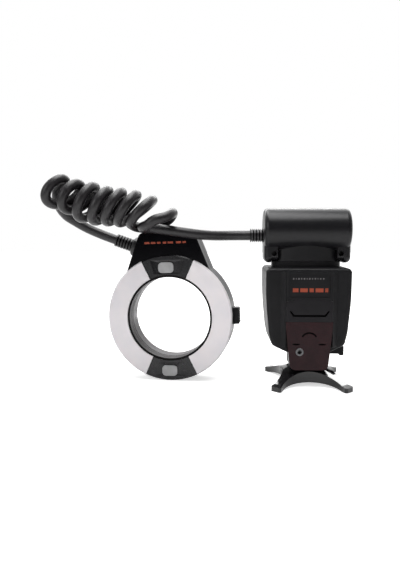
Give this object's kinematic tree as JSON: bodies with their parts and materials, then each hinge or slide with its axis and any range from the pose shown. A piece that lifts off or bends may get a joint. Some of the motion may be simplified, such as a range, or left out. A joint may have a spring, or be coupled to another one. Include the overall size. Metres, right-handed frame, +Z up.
{
  "type": "macro ring flash",
  "caption": "Ring-shaped camera flash standing on its rim, joined by a coiled cable to a shoe-mounted control unit with a turning barrel head on a small four-legged stand.",
  "frame": {"origin": "on the floor, under the middle of the ring and the control unit taken together, without the cable", "axes": "+Z up, -Y towards the subject side that both units face, +X from the ring towards the control unit"},
  "size_m": [0.259, 0.0802, 0.1756],
  "materials": {
    "black_body": "fine matt grain",
    "black_gloss": "polished",
    "black_cover": "satin",
    "red_window": "polished dark red, nearly black",
    "diffuser": "milky, finely frosted",
    "clear_window": "clear",
    "lamp_lens": "clear",
    "tube_glass": "clear",
    "reflector": "polished",
    "grey_sleeve": "satin",
    "black_rubber": "matt",
    "cable_jacket": "satin",
    "key_rubber": "matt",
    "steel": "brushed",
    "dark_screw": "black oxide",
    "brass": "turned",
    "circuit_board": "solder resist",
    "cell_jacket": "plain grey jacket",
    "capacitor_jacket": "shrunk sleeve",
    "grey_plastic": "matt",
    "screen": "grey green"
  },
  "bodies": {
    "control_unit": {"body_front_shell": "black_body", "body_rear_shell": "black_body", "sensor_cover": "black_cover", "af_assist_panel": "red_window", "sync_socket": "grey_plastic", "assist_lamps": "lamp_lens", "swivel_collar": "black_body", "control_board": "circuit_board", "battery_cells": "cell_jacket", "battery_contacts": "steel", "battery_tray": "grey_plastic", "screen_window": "clear_window", "screen_module": "screen", "body_screws": "dark_screw", "door_hinge_pin": "steel", "foot_block": "black_body", "foot_plate": "black_body", "foot_contacts": "brass", "lever_pin": "steel"},
    "head": {"head_front_shell": "black_gloss", "head_rear_shell": "black_gloss", "head_cap_left": "black_gloss", "head_cap_right": "black_gloss", "swivel_shaft": "grey_plastic", "main_capacitor": "capacitor_jacket", "capacitor_cradles": "grey_plastic", "head_strain_relief": "black_rubber", "cord_lead": "cable_jacket", "cord_coil": "cable_jacket", "cord_tail": "cable_jacket", "ring_strain_relief": "black_rubber", "ring_front_frame": "grey_plastic", "ring_rear_shell": "black_body", "bore_sleeve": "grey_sleeve", "diffuser_left": "diffuser", "diffuser_right": "diffuser", "lamp_cover_top": "black_gloss", "lamp_cover_bottom": "black_gloss", "lamp_windows": "lamp_lens", "flash_tubes": "tube_glass", "reflectors": "reflector", "ring_board": "circuit_board", "focusing_lamps": "lamp_lens", "ring_screws": "dark_screw"},
    "ring_release": {"release_button": "black_body", "latch_plate": "steel"},
    "battery_door": {"battery_door": "black_body"},
    "mode_key": {"mode_key": "key_rubber"},
    "ratio_key": {"ratio_key": "key_rubber"},
    "minus_key": {"minus_key": "key_rubber"},
    "plus_key": {"plus_key": "key_rubber"},
    "lamp_key": {"lamp_key": "key_rubber"},
    "pilot_key": {"pilot_key": "key_rubber"},
    "power_switch": {"power_switch": "black_gloss"},
    "lock_lever": {"lock_lever": "black_body"},
    "lock_pin": {"lock_pin": "steel"},
    "stand": {"stand_base": "black_gloss", "shoe_rails": "steel", "thread_insert": "brass"}
  },
  "joints": [
    {"name": "head_swivel", "type": "hinge", "parent": "control_unit", "child": "head", "pos_m": [0.067, 0.006, 0.1034], "axis": [0, 0, 1], "range_deg": [-90, 90]},
    {"name": "ring_release_press", "type": "slide", "parent": "head", "child": "ring_release", "axis": [-0.9919, 0.1218, -0.0349], "range_m": [0, 0.0022], "stiffness_N_per_m": 900},
    {"name": "battery_door_swing", "type": "hinge", "parent": "control_unit", "child": "battery_door", "pos_m": [0.1019, 0.0312, 0.071], "axis": [0, 0, 1], "range_deg": [0, 100]},
    {"name": "mode_key_press", "type": "slide", "parent": "control_unit", "child": "mode_key", "axis": [0, -1, 0], "range_m": [0, 0.0006], "stiffness_N_per_m": 1500},
    {"name": "ratio_key_press", "type": "slide", "parent": "control_unit", "child": "ratio_key", "axis": [0, -1, 0], "range_m": [0, 0.0006], "stiffness_N_per_m": 1500},
    {"name": "minus_key_press", "type": "slide", "parent": "control_unit", "child": "minus_key", "axis": [0, -1, 0], "range_m": [0, 0.0006], "stiffness_N_per_m": 1500},
    {"name": "plus_key_press", "type": "slide", "parent": "control_unit", "child": "plus_key", "axis": [0, -1, 0], "range_m": [0, 0.0006], "stiffness_N_per_m": 1500},
    {"name": "lamp_key_press", "type": "slide", "parent": "control_unit", "child": "lamp_key", "axis": [0, -1, 0], "range_m": [0, 0.0006], "stiffness_N_per_m": 1500},
    {"name": "pilot_key_press", "type": "slide", "parent": "control_unit", "child": "pilot_key", "axis": [0, -1, 0], "range_m": [0, 0.0006], "stiffness_N_per_m": 1500},
    {"name": "power_switch_slide", "type": "slide", "parent": "control_unit", "child": "power_switch", "axis": [1, 0, 0], "range_m": [0, 0.006]},
    {"name": "lock_lever_turn", "type": "hinge", "parent": "control_unit", "child": "lock_lever", "pos_m": [0.0767, 0.014, 0.0232], "axis": [0, 0, 1], "range_deg": [0, 50]},
    {"name": "lock_pin_drop", "type": "slide", "parent": "control_unit", "child": "lock_pin", "axis": [0, 0, -1], "range_m": [0, 0.0012]},
    {"name": "stand_slide", "type": "slide", "parent": "control_unit", "child": "stand", "axis": [0, -1, 0], "range_m": [0, 0.02]}
  ],
  "couplings": [
    {"joint": "lock_pin_drop", "follows": "lock_lever_turn", "m_per_rad": 0.00137}
  ]
}
